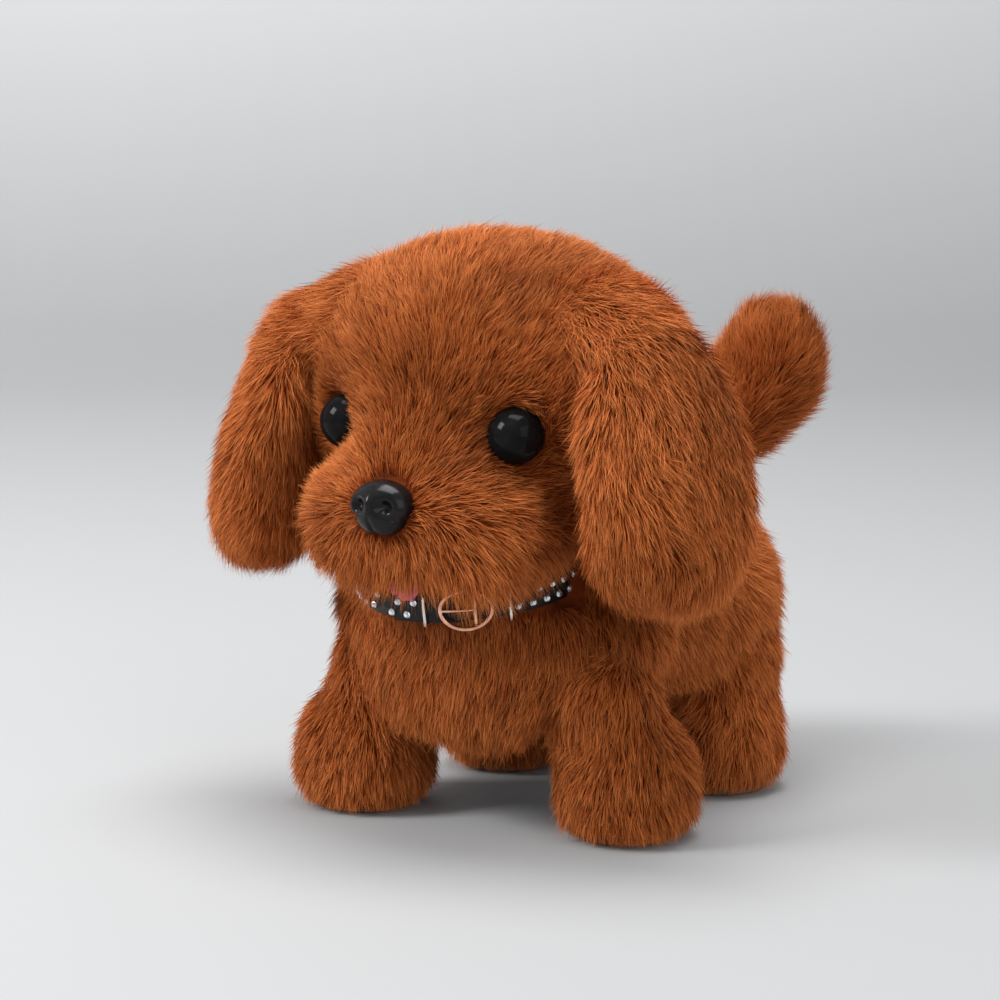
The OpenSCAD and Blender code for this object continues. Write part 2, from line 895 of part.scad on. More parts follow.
// Two staggered rows of studs around the strap, and a few on its free end
module collar_studs() {
    step = 360 / studs;
    color("white") collar_frame() {
        for (row = [0, 1]) for (i = [0 : studs - 1]) {
            turn = (i + row / 2) * step;
            if (turn > stud_first && turn < stud_last) stud(turn, collar_r + strap_t, row);
        }
        for (i = [0 : len(end_studs) - 1]) {
            stud(end_studs[i], collar_r + 2 * strap_t + 0.1, (i + 1) % 2);
        }
    }
}

chassis_left();
chassis_right();
chassis_screws();
base_plate();
batteries();
battery_contacts();
battery_door();
door_screw();
pcb();
speaker();
switch_body();
switch_knob();
motor();
motor_pinion();
gear_shafts();
gear_stage_1();
gear_stage_2();
crankshaft();
crank_gear();
crank_left();
crank_right();
bar_left();
bar_right();
leg_front_left();
leg_front_right();
leg_rear_left();
leg_rear_right();
sole_front_left();
sole_front_right();
sole_rear_left();
sole_rear_right();
paw_front_left();
paw_front_right();
paw_rear_left();
paw_rear_right();
hip_screws();
neck_bracket();
neck_pin();
skull_left();
skull_right();
head_plush();
ear_left();
ear_right();
eye_left();
eye_right();
eye_washers();
nose();
nose_washer();
jaw_frame();
chin_plush();
tongue();
tail_arm();
tail_plush();
body_plush();
collar_strap();
collar_buckle();
collar_loops();
collar_studs();
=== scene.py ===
import json
import math

import bmesh
import bpy
import numpy as np
from mathutils import Matrix, Vector
from mathutils.kdtree import KDTree


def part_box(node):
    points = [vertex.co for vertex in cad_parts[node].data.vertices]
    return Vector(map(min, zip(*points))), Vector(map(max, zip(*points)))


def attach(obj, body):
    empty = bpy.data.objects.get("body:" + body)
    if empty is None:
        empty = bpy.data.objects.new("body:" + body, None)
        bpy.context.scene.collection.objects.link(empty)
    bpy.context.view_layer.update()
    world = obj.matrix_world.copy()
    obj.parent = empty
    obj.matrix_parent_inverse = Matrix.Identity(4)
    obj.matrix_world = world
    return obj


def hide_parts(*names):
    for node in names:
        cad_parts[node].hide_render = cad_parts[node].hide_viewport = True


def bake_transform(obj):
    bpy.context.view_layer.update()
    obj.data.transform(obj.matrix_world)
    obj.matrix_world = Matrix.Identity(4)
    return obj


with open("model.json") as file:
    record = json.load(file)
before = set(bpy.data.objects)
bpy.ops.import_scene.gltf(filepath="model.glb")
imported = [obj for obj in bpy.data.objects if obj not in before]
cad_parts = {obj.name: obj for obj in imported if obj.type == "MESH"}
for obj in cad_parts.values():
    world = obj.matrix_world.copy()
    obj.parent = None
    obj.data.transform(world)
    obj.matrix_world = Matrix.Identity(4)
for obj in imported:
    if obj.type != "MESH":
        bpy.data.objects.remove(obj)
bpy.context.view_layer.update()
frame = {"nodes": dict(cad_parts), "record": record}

# The puppy faces -Y, +X is its left side. Lengths below are in millimetres unless a name ends in _m.
MM = 0.001


# ---------- colours ----------

def linear(r, g, b):
    """An sRGB colour of 0 to 255 as linear values."""
    return tuple(((c / 255 + 0.055) / 1.055) ** 2.4 if c > 10 else c / 255 / 12.92 for c in (r, g, b))


# ---------- node materials ----------

def new_material(name):
    m = bpy.data.materials.new(name)
    m.use_nodes = True
    tree = m.node_tree
    return m, tree, tree.nodes["Principled BSDF"]


def node(tree, kind, **values):
    n = tree.nodes.new(kind)
    for key, value in values.items():
        if key in n.inputs:
            n.inputs[key].default_value = value
        else:
            setattr(n, key, value)
    return n


def ramp(tree, source, stops):
    """A colour ramp over source with stops of (position, colour)."""
    n = tree.nodes.new("ShaderNodeValToRGB")
    tree.links.new(source, n.inputs["Fac"])
    while len(n.color_ramp.elements) < len(stops):
        n.color_ramp.elements.new(0.5)
    for element, (at, colour) in zip(n.color_ramp.elements, stops):
        element.position = at
        element.color = (*colour, 1)
    return n.outputs["Color"]


def coordinates(tree):
    return tree.nodes.new("ShaderNodeTexCoord").outputs["Object"]


def noise_of(tree, scale, detail=3.0):
    n = node(tree, "ShaderNodeTexNoise", Scale=scale, Detail=detail, Roughness=0.55)
    tree.links.new(coordinates(tree), n.inputs["Vector"])
    return n.outputs["Fac"]


def mottle(tree, bsdf, scale, stops, detail=3.0):
    """A base colour that wanders between the stops of a ramp over noise."""
    tree.links.new(ramp(tree, noise_of(tree, scale, detail), stops), bsdf.inputs["Base Color"])


def bump(tree, bsdf, source, strength, distance_m):
    n = node(tree, "ShaderNodeBump", Strength=strength, Distance=distance_m)
    tree.links.new(source, n.inputs["Height"])
    tree.links.new(n.outputs["Normal"], bsdf.inputs["Normal"])


FUR_BANDS = 32
# Painted shade at the root and painted light at the tip of every strand.
FUR_ROOT_PAINTED_SHADE = linear(70, 27, 5)
FUR_MID = linear(164, 75, 21)
FUR_TIP_PAINTED_LIGHT = linear(226, 138, 74)


def fur_material():
    """Pile colour from its own UV: u is the strand's shade, v runs from root to tip, the root darkened with
    painted shade and the tip paled with painted light.
    """
    m, tree, bsdf = new_material("plush_pile")
    uv = node(tree, "ShaderNodeUVMap", uv_map="OFBake")
    split = tree.nodes.new("ShaderNodeSeparateXYZ")
    tree.links.new(uv.outputs["UV"], split.inputs[0])
    along = ramp(tree, split.outputs["Y"], [(0.0, FUR_ROOT_PAINTED_SHADE), (0.45, FUR_MID), (1.0, FUR_TIP_PAINTED_LIGHT)])
    shades = [(0.0, (0.34, 0.25, 0.14)), (0.5, (0.88, 0.83, 0.73)), (1.0, (1.2, 1.24, 1.3))]
    shade = ramp(tree, split.outputs["X"], shades)
    mix = node(tree, "ShaderNodeMix", data_type="RGBA", blend_type="MULTIPLY")
    mix.inputs[0].default_value = 1.0
    tree.links.new(along, mix.inputs[6])
    tree.links.new(shade, mix.inputs[7])
    tree.links.new(mix.outputs[2], bsdf.inputs["Base Color"])
    bsdf.inputs["Roughness"].default_value = 0.6
    bsdf.inputs["Specular IOR Level"].default_value = 0.14
    bsdf.inputs["Sheen Weight"].default_value = 0.12
    bsdf.inputs["Sheen Roughness"].default_value = 0.4
    bsdf.inputs["Sheen Tint"].default_value = (1.0, 0.6, 0.3, 1)
    return m


def backing_material():
    """The knitted cloth under the pile."""
    m, tree, bsdf = new_material("plush_backing")
    mottle(tree, bsdf, 90, [(0.35, linear(84, 34, 10)), (0.7, linear(116, 50, 16))])
    bsdf.inputs["Roughness"].default_value = 0.95
    bsdf.inputs["Specular IOR Level"].default_value = 0.1
    return m


# ---------- smooth shapes from ellipsoids ----------

class Blob:
    """An ellipsoid in millimetres, turned by Euler angles in degrees."""

    def __init__(self, centre, radii, turn=(0, 0, 0)):
        self.c = np.array(centre, float)
        self.r = np.array(radii, float)
        self.turn = Matrix.Rotation(math.radians(turn[2]), 3, "Z") @ Matrix.Rotation(
            math.radians(turn[1]), 3, "Y") @ Matrix.Rotation(math.radians(turn[0]), 3, "X")
        self.m = np.array(self.turn)

    def distance(self, p):
        q = (p - self.c) @ self.m
        k0 = np.linalg.norm(q / self.r, axis=1)
        k1 = np.linalg.norm(q / (self.r * self.r), axis=1)
        return k0 * (k0 - 1) / np.maximum(k1, 1e-9)


def field(blobs, blend_mm, hollows):
    """Signed distance to the smooth union of some blobs, with soft hollows cut out."""
    def distance(p):
        d = np.stack([b.distance(p) for b in blobs])
        low = d.min(0)
        d = low - blend_mm * np.log(np.exp(-(d - low) / blend_mm).sum(0))
        for h in hollows:
            cut = -h.distance(p)
            d = np.maximum(d, cut) + blend_mm * 0.4 * np.log1p(np.exp(-abs(d - cut) / (blend_mm * 0.4)))
        return d
    return distance


def gradient(distance, p, step=0.2):
    g = np.stack([distance(p + step * e) - distance(p - step * e) for e in np.eye(3)], 1) / (2 * step)
    return g / np.maximum(np.linalg.norm(g, axis=1, keepdims=True), 1e-9)


def mesh_of(name, bm, solid=False):
    """A bmesh made into a mesh and freed. A solid has its faces turned outward."""
    if solid:
        bmesh.ops.recalc_face_normals(bm, faces=bm.faces)
    mesh = bpy.data.meshes.new(name)
    bm.to_mesh(mesh)
    bm.free()
    return mesh


def points_of(mesh):
    co = np.zeros(len(mesh.vertices) * 3)
    mesh.vertices.foreach_get("co", co)
    return co.reshape(-1, 3)


def new_piece(name, mesh, *materials):
    o = bpy.data.objects.new(name, mesh)
    bpy.context.scene.collection.objects.link(o)
    for m in materials:
        mesh.materials.append(m)
    return o


def baked(o):
    """The object's mesh with its modifiers applied."""
    graph = bpy.context.evaluated_depsgraph_get()
    return bpy.data.meshes.new_from_object(o.evaluated_get(graph))


def reshape(mesh, change):
    """Moves a mesh's points to where the function says."""
    mesh.vertices.foreach_set("co", change(points_of(mesh)).ravel())


DRAW_STEPS = 6
DRAW_SHARE = 0.8


def skin_mesh(name, blobs, blend_mm, voxel_mm, hollows, inset_mm):
    """One closed skin: a voxel hull drawn onto the smooth union of the blobs, less the hollows."""
    bm = bmesh.new()
    for b in blobs:
        place = Matrix.Translation(Vector(b.c)) @ b.turn.to_4x4() @ Matrix.Diagonal((*b.r, 1))
        bmesh.ops.create_uvsphere(bm, u_segments=40, v_segments=24, radius=1, matrix=place)
    o = new_piece(name, mesh_of(name, bm))
    remesh = o.modifiers.new("hull", "REMESH")
    remesh.mode = "VOXEL"
    remesh.voxel_size = voxel_mm
    mesh = baked(o)
    bpy.data.objects.remove(o)
    distance = field(blobs, blend_mm, hollows)
    p = points_of(mesh)
    for _ in range(DRAW_STEPS):
        p = p - DRAW_SHARE * (distance(p) + inset_mm)[:, None] * gradient(distance, p)
    mesh.vertices.foreach_set("co", p.ravel())
    mesh.update()
    return mesh


CLOTH_FRAMES = 20
SWELL_CAP_MM = 1.6


def stuffed(name, mesh, voxel_mm, pressure, tension):
    """The skin as cloth blown out by its stuffing, simulated, with a cap on how far a point moves."""
    mesh.transform(Matrix.Scale(MM, 4))
    o = new_piece(f"{name}_cloth", mesh)
    even = o.modifiers.new("even", "REMESH")
    even.mode = "VOXEL"
    even.voxel_size = voxel_mm * MM
    o.data = baked(o)
    o.modifiers.clear()
    start = points_of(o.data)
    cloth = o.modifiers.new("cloth", "CLOTH")
    cloth.settings.use_pressure = True
    cloth.settings.uniform_pressure_force = pressure
    cloth.settings.tension_stiffness = cloth.settings.compression_stiffness = tension
    cloth.settings.effector_weights.gravity = 0
    cloth.point_cache.frame_start, cloth.point_cache.frame_end = 1, CLOTH_FRAMES
    scene = bpy.context.scene
    for frame_number in range(1, CLOTH_FRAMES + 1):
        scene.frame_set(frame_number)
    moved = points_of(baked(o)) - start
    o.modifiers.clear()
    scene.frame_set(1)
    moved -= moved.mean(0)
    far = np.linalg.norm(moved, axis=1, keepdims=True)
    moved *= np.minimum(1, SWELL_CAP_MM * MM / np.maximum(far, 1e-9))
    o.data.vertices.foreach_set("co", (start + moved).ravel())
    o.data.update()
    finer = o.modifiers.new("finer", "SUBSURF")
    finer.levels = 1
    result = baked(o)
    bpy.data.objects.remove(o)
    result.transform(Matrix.Scale(1 / MM, 4))
    return result


# ---------- pile: real strands grown on a skin ----------

STRANDS_PER_PIECE = 60000
STRANDS_PER_MM2 = 4.0
STRANDS_PER_CLUMP = 11
CLUMP_PULL = 0.42
SWIRL_MM, TUFT_MM, PATCH_MM, SHADE_MM = 14, 5, 9, 22
ROOT_DEPTH_MM = 0.6
GOLDEN = 2654435761


def hashed(i, seed):
    """Whole-number lattice points to even noise from 0 to 1."""
    n = (i[:, 0] * 73856093) ^ (i[:, 1] * 19349663) ^ (i[:, 2] * 83492791) ^ (seed * GOLDEN)
    n = ((n ^ (n >> 13)) * 1274126177) & 0xFFFFFFFF
    n = ((n ^ (n >> 15)) * 2246822519) & 0xFFFFFFFF
    return ((n ^ (n >> 16)) & 0xFFFFFF) / float(0xFFFFFF)


def smooth_noise(p, cell_mm, seed):
    """Smooth noise from 0 to 1 over points in millimetres."""
    q = p / cell_mm
    low = np.floor(q).astype(np.int64)
    f = q - low
    f = f * f * (3 - 2 * f)
    total = np.zeros(len(p))
    for corner in np.ndindex(2, 2, 2):
        weight = np.prod(np.where(np.array(corner), f, 1 - f), axis=1)
        total += weight * hashed(low + np.array(corner), seed)
    return total


def unit(v):
    return v / np.maximum(np.linalg.norm(v, axis=1, keepdims=True), 1e-9)


def scatter(mesh, per_mm2, rng):
    """Evenly spread roots on a mesh in millimetres, with their smooth normals."""
    mesh.calc_loop_triangles()
    t = np.zeros(len(mesh.loop_triangles) * 3, np.int32)
    mesh.loop_triangles.foreach_get("vertices", t)
    t = t.reshape(-1, 3)
    p = points_of(mesh) / MM
    vn = np.zeros(len(mesh.vertices) * 3)
    mesh.vertex_normals.foreach_get("vector", vn)
    vn = vn.reshape(-1, 3)
    size = np.linalg.norm(np.cross(p[t[:, 1]] - p[t[:, 0]], p[t[:, 2]] - p[t[:, 0]]), axis=1) / 2
    count = int(size.sum() * per_mm2)
    pick = rng.choice(len(size), count, p=size / size.sum())
    u, v = rng.random((2, count, 1))
    flip = u + v > 1
    u, v = np.where(flip, 1 - u, u), np.where(flip, 1 - v, v)
    corners = t[pick]

    def mixed(a):
        return a[corners[:, 0]] * (1 - u - v) + a[corners[:, 1]] * u + a[corners[:, 2]] * v

    return mixed(p), unit(mixed(vn))


def along_skin(direction, normal):
    """The direction laid flat on the skin."""
    return unit(direction - (direction * normal).sum(1, keepdims=True) * normal)


def nearest(points, centres):
    tree = KDTree(len(centres))
    for i, c in enumerate(centres):
        tree.insert(c, i)
    tree.balance()
    return np.array([tree.find(p)[1] for p in points])


def ribbons(name, root, middle, tip, width, side, band, material):
    """A mesh of tapered strands: a quad from root to middle, then a triangle to the tip."""
    n = len(root)
    half = width[:, None] / 2 * side
    points = np.stack([root - half, root + half, middle + 0.85 * half, middle - 0.85 * half, tip], 1)
    mesh = bpy.data.meshes.new(name)
    mesh.vertices.add(5 * n)
    mesh.vertices.foreach_set("co", (points * MM).astype(np.float32).ravel())
    base = 5 * np.arange(n)[:, None]
    mesh.loops.add(7 * n)
    mesh.loops.foreach_set("vertex_index", (base + np.array([0, 1, 2, 3, 3, 2, 4])).astype(np.int32).ravel())
    mesh.polygons.add(2 * n)
    starts = (7 * np.arange(n)[:, None] + np.array([0, 4])).astype(np.int32)
    mesh.polygons.foreach_set("loop_start", starts.ravel())
    uv = mesh.uv_layers.new(name="OFBake")
    left, right = (band + 0.2) / FUR_BANDS, (band + 0.8) / FUR_BANDS
    centre = (left + right) / 2
    us = np.stack([left, right, right, left, left, right, centre], 1)
    vs = np.broadcast_to(np.array([0.02, 0.02, 0.5, 0.5, 0.5, 0.5, 0.98]), us.shape)
    uv.data.foreach_set("uv", np.stack([us, vs], 2).astype(np.float32).ravel())
    mesh.update(calc_edges=True)
    mesh.shade_smooth()
    return new_piece(name, mesh, material)


class Pile:
    """How the fur lies on one skin: the way it is combed, its length in millimetres, its lift off the skin
    in degrees, and its painted light and shade, how much lighter or darker its strands are painted, 0 for the
    plain shade. Each is a number or a function of roots and normals."""

    def __init__(self, comb, length, lift, seed, keep=None, floor=None, tone=0.0):
        self.comb, self.length, self.lift, self.seed = comb, length, lift, seed
        self.keep, self.floor, self.tone = keep, floor, tone


def value(rule, p, n):
    return rule(p, n) if callable(rule) else np.full(len(p), float(rule))


def grow(name, skin, pile, material):
    """The strands of one skin, as a list of pieces."""
    rng = np.random.default_rng(pile.seed)
    density = STRANDS_PER_MM2 * 1
    root, normal = scatter(skin.data, density, rng)
    if pile.keep is not None:
        kept = pile.keep(root, normal)
        root, normal = root[kept], normal[kept]
    count = len(root)
    swirl = np.stack([smooth_noise(root, SWIRL_MM, pile.seed + k) - 0.5 for k in range(3)], 1)
    tuft = np.stack([smooth_noise(root, TUFT_MM, pile.seed + 20 + k) - 0.5 for k in range(3)], 1)
    push = 0.9 * swirl + 0.7 * tuft + 0.22 * rng.normal(size=(count, 3))
    flat = along_skin(pile.comb(root, normal) + push, normal)
    lift = np.radians(value(pile.lift, root, normal) + 9 * rng.normal(size=count))[:, None]
    length = value(pile.length, root, normal) * (0.72 + 0.5 * rng.random(count))
    length = length * (0.86 + 0.3 * smooth_noise(root, PATCH_MM, pile.seed + 5))
    start = normal * np.sin(lift) + flat * np.cos(lift)
    lean = unit(start + 0.55 * flat + np.array([0, 0, -0.16]) + 0.16 * rng.normal(size=(count, 3)))
    width = 0.20 + 0.11 * rng.random(count)
    base = root - ROOT_DEPTH_MM * normal
    middle = base + start * (0.5 * length)[:, None]
    tip = middle + lean * (0.55 * length)[:, None]
    centres = rng.choice(count, max(4, int(count / (density * STRANDS_PER_CLUMP))), replace=False)
    own = centres[nearest(root, root[centres])]
    pull = CLUMP_PULL * rng.random(count)[:, None]
    tip = tip + pull * (tip[own] - tip)
    middle = middle + 0.4 * pull * (middle[own] - middle)
    if pile.floor is not None:
        tip[:, 2] = np.maximum(tip[:, 2], pile.floor + 0.4 * rng.random(count))
        middle[:, 2] = np.maximum(middle[:, 2], pile.floor + 0.3)
        base[:, 2] = np.maximum(base[:, 2], pile.floor + 0.3)
    forward = unit(tip - base)
    side = unit(np.cross(forward, normal + 0.25 * rng.normal(size=(count, 3))))
    twist = np.radians(38) * rng.normal(size=count)[:, None]
    side = side * np.cos(twist) + np.cross(forward, side) * np.sin(twist)
    # The pile's painted light and shade is added to each strand's shade here.
    shade = 0.52 + value(pile.tone, root, normal) + 0.12 * rng.normal(size=count)
    shade += 0.30 * (rng.random(count)[own] - 0.5)
    shade += 0.5 * (smooth_noise(root, SHADE_MM, pile.seed + 7) - 0.5)
    band = np.clip(np.floor(shade * FUR_BANDS), 0, FUR_BANDS - 1)
    parts = max(1, math.ceil(count / STRANDS_PER_PIECE))
    pieces = []
    for k in range(parts):
        part = slice(k, None, parts)
        pieces.append(ribbons(f"{name}_pile_{k}", base[part], middle[part], tip[part], width[part],
                              side[part], band[part], material))
    return pieces


# ---------- the furry parts ----------

PILE = fur_material()
BACKING = backing_material()
NOSE_AT = np.array([0.0, -103.0, 98.0])
EYE_C = (28.5, -73.5, 118.5)
EYE_R = 8.0
EYES = [np.array([EYE_C[0] * s, EYE_C[1] - 1.5, EYE_C[2]]) for s in (1, -1)]
COLLAR_AT = np.array([0.0, -52.0, 75.5])
COLLAR_TILT = math.radians(10)
COLLAR_AXIS = np.array([0, -math.sin(COLLAR_TILT), math.cos(COLLAR_TILT)])
STRAP_REACH = 4.6
GROOVE_R = 31.7
BARE_NOSE_AT = np.array([0, -97, 99.5])
BARE_NOSE_R = 7.6
BARE_EYE_R = 8.6


def toward(x, y, z):
    return lambda p, n: np.broadcast_to(np.array([x, y, z], float), p.shape)


def from_nose(p, n):
    """Hair lies away from the nose, falls on the nape, and hangs from the lip and the cheeks."""
    away = unit(p - NOSE_AT)
    nape = np.clip((p[:, 1:2] + 40) / 30, 0, 1)
    beard = np.clip((98 - p[:, 2:3]) / 14, 0, 1)
    return away * (1 - 0.55 * beard) + (nape + 0.9 * beard) * np.array([0, 0.1, -1.0])


def crease(p):
    """From 0 in the creases between the cheeks and the ears to 1 a little way outside them."""
    out = np.ones(len(p))
    for side in (1, -1):
        far = np.linalg.norm((p - np.array([side * 43, -75, 101])) / np.array([9, 13, 13]), axis=1)
        out = np.minimum(out, np.clip((far - 0.4) / 0.9, 0, 1))
    return out


def face_painted_shade(p, n):
    """Painted shade: darker pile in the creases and close round the eyes."""
    tone = 0.5 * (crease(p) - 1)
    for eye in EYES:
        tone -= 0.2 * np.exp(-((np.linalg.norm(p - eye, axis=1) - EYE_R) / 5) ** 2)
    return tone


def face_length(p, n):
    """Short round the nose and the eyes, longer on the crown, and longest under the muzzle."""
    near_nose = np.clip(np.linalg.norm(p - NOSE_AT, axis=1) / 34, 0, 1)
    length = 4.2 + 4.8 * near_nose
    middle = 1 - np.clip((abs(p[:, 0] - 2) - 13) / 12, 0, 1)
    length += (1.5 + 6.0 * middle) * np.clip((94 - p[:, 2]) / 10, 0, 1) * near_nose
    length *= 0.3 + 0.7 * crease(p)
    for eye in EYES:
        near = np.clip((np.linalg.norm(p - eye, axis=1) - EYE_R) / 14, 0, 1)
        length *= 0.45 + 0.55 * near
    return length


def head_lift(p, n):
    """Hair lies close on the crown, and stands off the underside of the muzzle."""
    return 29 + 46 * np.clip(-n[:, 2] - 0.25, 0, 0.6) / 0.6


def on_face(p, n):
    """No pile on the eyes, on the nose or on the neck inside the body."""
    kept = np.ones(len(p), bool)
    for eye in EYES:
        kept &= np.linalg.norm(p - eye, axis=1) > BARE_EYE_R
    kept &= np.linalg.norm(p - BARE_NOSE_AT, axis=1) > BARE_NOSE_R
    kept &= (p[:, 2] > 87) | (p[:, 1] < -58) | (abs(p[:, 0]) > 34)
    return kept


def ring_place(p):
    """Height over the collar's plane and distance from its axis."""
    q = p - COLLAR_AT
    height = q @ COLLAR_AXIS
    return height, np.linalg.norm(q - height[:, None] * COLLAR_AXIS, axis=1)


def collar_groove(p):
    """Presses the neck in under the strap, all round the front."""
    height, radius = ring_place(p)
    turn = np.degrees(np.arctan2(abs(p[:, 0]), COLLAR_AT[1] - p[:, 1]))
    most = GROOVE_R + 1.7 * np.maximum(abs(height) - 4.8, 0)
    pull = np.clip((95 - turn) / 15, 0, 1) * np.maximum(radius - most, 0) / np.maximum(radius, 1)
    return p - pull[:, None] * (p - COLLAR_AT - height[:, None] * COLLAR_AXIS)


def off_collar_and_plate(p, n):
    """No pile under the strap or on the belly plate."""
    height, radius = ring_place(p)
    under_strap = (abs(height) < STRAP_REACH) & (radius < 36.5) & (radius > 22)
    low, high = (np.array(corner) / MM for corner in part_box("base_plate"))
    plate = (abs(p[:, 0]) < high[0] - 1) & (p[:, 1] > low[1] + 1) & (p[:, 1] < high[1] - 1)
    return ~(under_strap | plate & (p[:, 2] < 38))


def body_comb(p, n):
    """Down the chest, back and down along the flanks, and outward round the belly plate."""
    back = np.clip((p[:, 1:2] + 40) / 60, 0, 1)
    down = np.array([0, 0, -1.0]) + back * np.array([0, 0.7, 0.1]) + 0.25 * n * np.array([1, 1, 0])
    under = np.clip((40 - p[:, 2:3]) / 8, 0, 1) * np.clip((p[:, 1:2] + 58) / 8, 0, 1)
    outward = unit((p - np.array([0, -10, 0])) * np.array([1.4, 0.7, 0]))
    return down * (1 - under) + outward * under


def body_length(p, n):
    """Pressed shorter beside the strap and round the belly plate."""
    height, radius = ring_place(p)
    beside = np.clip((abs(height) - STRAP_REACH) / 7, 0, 1)
    length = 9.5 * np.where(radius < 42, 0.5 + 0.5 * beside, 1)
    off_plate = np.clip(np.maximum((p[:, 2] - 30) / 10, (-50 - p[:, 1]) / 6), 0, 1)
    return length * (0.6 + 0.4 * off_plate)


PLATE_GRIP = 1.2


def open_round(mesh, plate):
    """Lifts the skin into the thickness of a plate, and opens it over the plate's middle."""
    low, high = (Vector(corner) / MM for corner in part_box(plate))

    def over(p, margin):
        return (abs(p[:, 0]) < high.x + margin) & (p[:, 1] > low.y - margin) & (p[:, 1] < high.y + margin)

    p = points_of(mesh)
    p[:, 2] = np.where(over(p, 0.6), np.maximum(p[:, 2], high.z - PLATE_GRIP), p[:, 2])
    mesh.vertices.foreach_set("co", p.ravel())
    middle = over(p, -2) & (p[:, 2] < high.z)
    bm = bmesh.new()
    bm.from_mesh(mesh)
    opening = [f for f in bm.faces if all(middle[v.index] for v in f.verts)]
    bmesh.ops.delete(bm, geom=opening, context="FACES")
    bm.to_mesh(mesh)
    bm.free()


def skin_piece(name, blobs, blend_mm, nodes, voxel_mm=2.2, hollows=(), plate=None, floor_mm=None,
               pressure=50, tension=0.4, cloth_mm=3.5, inset_mm=0.4, groove=None):
    """A skin that replaces some CAD nodes: stuffed, grooved, kept over the floor and open round a plate."""
    mesh = skin_mesh(name, blobs, blend_mm, voxel_mm, hollows, inset_mm)
    mesh = stuffed(name, mesh, cloth_mm, pressure, tension)
    if groove:
        reshape(mesh, groove)
    if floor_mm is not None:
        reshape(mesh, lambda p: np.maximum(p, [-np.inf, -np.inf, floor_mm]))
    if plate:
        open_round(mesh, plate)
    mesh.transform(Matrix.Scale(MM, 4))
    mesh.shade_smooth()
    skin = new_piece(name, mesh, BACKING)
    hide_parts(*nodes)
    return skin


def ride_all(pieces, body):
    for piece in pieces:
        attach(piece, body)


def make_head():
    blobs = [Blob((0, -40, 122), (54.5, 43, 45)), Blob((0, -33, 121), (52, 44, 44)),
             Blob((0, -39, 136), (54, 35, 31)),
             Blob((0, -71.5, 96), (36.5, 26, 17)), Blob((0, -62, 108), (21, 29, 20))]
    blobs += [Blob((s * 24, -70.5, 91), (13, 19.5, 11)) for s in (1, -1)]
    hollows = [Blob(eye + np.array([0.12 * eye[0], -3, 0]), (10.5, 10.5, 10.5)) for eye in EYES]
    for s in (1, -1):
        hollows += [Blob((s * 43, -79, 106), (9, 17, 7.5)), Blob((s * 48, -75, 98), (9, 19, 9.5)),
                    Blob((s * 38, -82, 110), (6.5, 11, 5))]
    skin = skin_piece("head_skin", blobs, 3.0, ["head_plush"], hollows=hollows, pressure=20, tension=5)
    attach(skin, "head")
    # Painted shade darkens the pile in the face's creases and round the eyes.
    pile = Pile(from_nose, length=face_length, lift=head_lift, keep=on_face, tone=face_painted_shade, seed=11)
    ride_all(grow("head", skin, pile, PILE), "head")


def make_chin():
    skin = skin_piece("chin_skin", [Blob((0, -75, 82), (16, 16.5, 4.2))], 1.0, ["chin_plush"], voxel_mm=1.5,
                      cloth_mm=2.0)
    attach(skin, "jaw")
    pile = Pile(toward(0, 0.25, -1), length=6.0, lift=25, keep=lambda p, n: n[:, 2] < 0.35, seed=17)
    ride_all(grow("chin", skin, pile, PILE), "jaw")


def make_ear(side, name):
    blobs = [Blob((side * 66, -56, 112), (11.5, 27, 37.5), (0, -side * 15, -side * 20)),
             Blob((side * 42, -45, 143), (20, 22, 12.5), (0, side * 32, -side * 10)),
             Blob((side * 65, -57, 91), (9, 23, 16), (0, -side * 3, -side * 20))]
    skin = skin_piece(f"{name}_skin", blobs, 4.0, [name], pressure=5, tension=5)
    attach(skin, "head")

    def comb(p, n):
        """With the hair of the crown over the root, then straight down."""
        over = np.clip((p[:, 2:3] - 130) / 18, 0, 1)
        return (1 - over) * np.array([0.25 * side, -0.15, -1.0]) + over * np.array([0.9 * side, -0.35, -0.15])

    # Painted light: the ear pile is painted lighter all over.
    pile = Pile(comb, length=9.5, lift=27, tone=0.13, seed=23 + side)
    ride_all(grow(name, skin, pile, PILE), "head")


def make_body():
    blobs = [Blob((0, -38, 61), (54.5, 29, 30)), Blob((0, 25, 58.5), (52.5, 41, 37)),
             Blob((0, -6, 59), (43, 44, 28)), Blob((0, -50, 70), (30.5, 29, 14)),
             Blob((0, -59, 41.5), (29, 9.5, 13.5))]
    skin = skin_piece("body_skin", blobs, 5.0, ["body_plush"], voxel_mm=2.5, plate="base_plate",
                      pressure=4, tension=5, inset_mm=1.0, groove=collar_groove)
    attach(skin, "chassis")
    # Painted light: the pile is painted lighter towards the rump.
    pile = Pile(body_comb, length=body_length, lift=29, keep=off_collar_and_plate,
                tone=lambda p, n: 0.13 * np.clip((p[:, 1] + 5) / 30, 0, 1), seed=31)
    ride_all(grow("body", skin, pile, PILE), "chassis")


HIP_Y = {"front": -43.0, "rear": 22.0}
FOOT_X = {"front_left": 43, "front_right": -42, "rear_left": 36, "rear_right": -34}


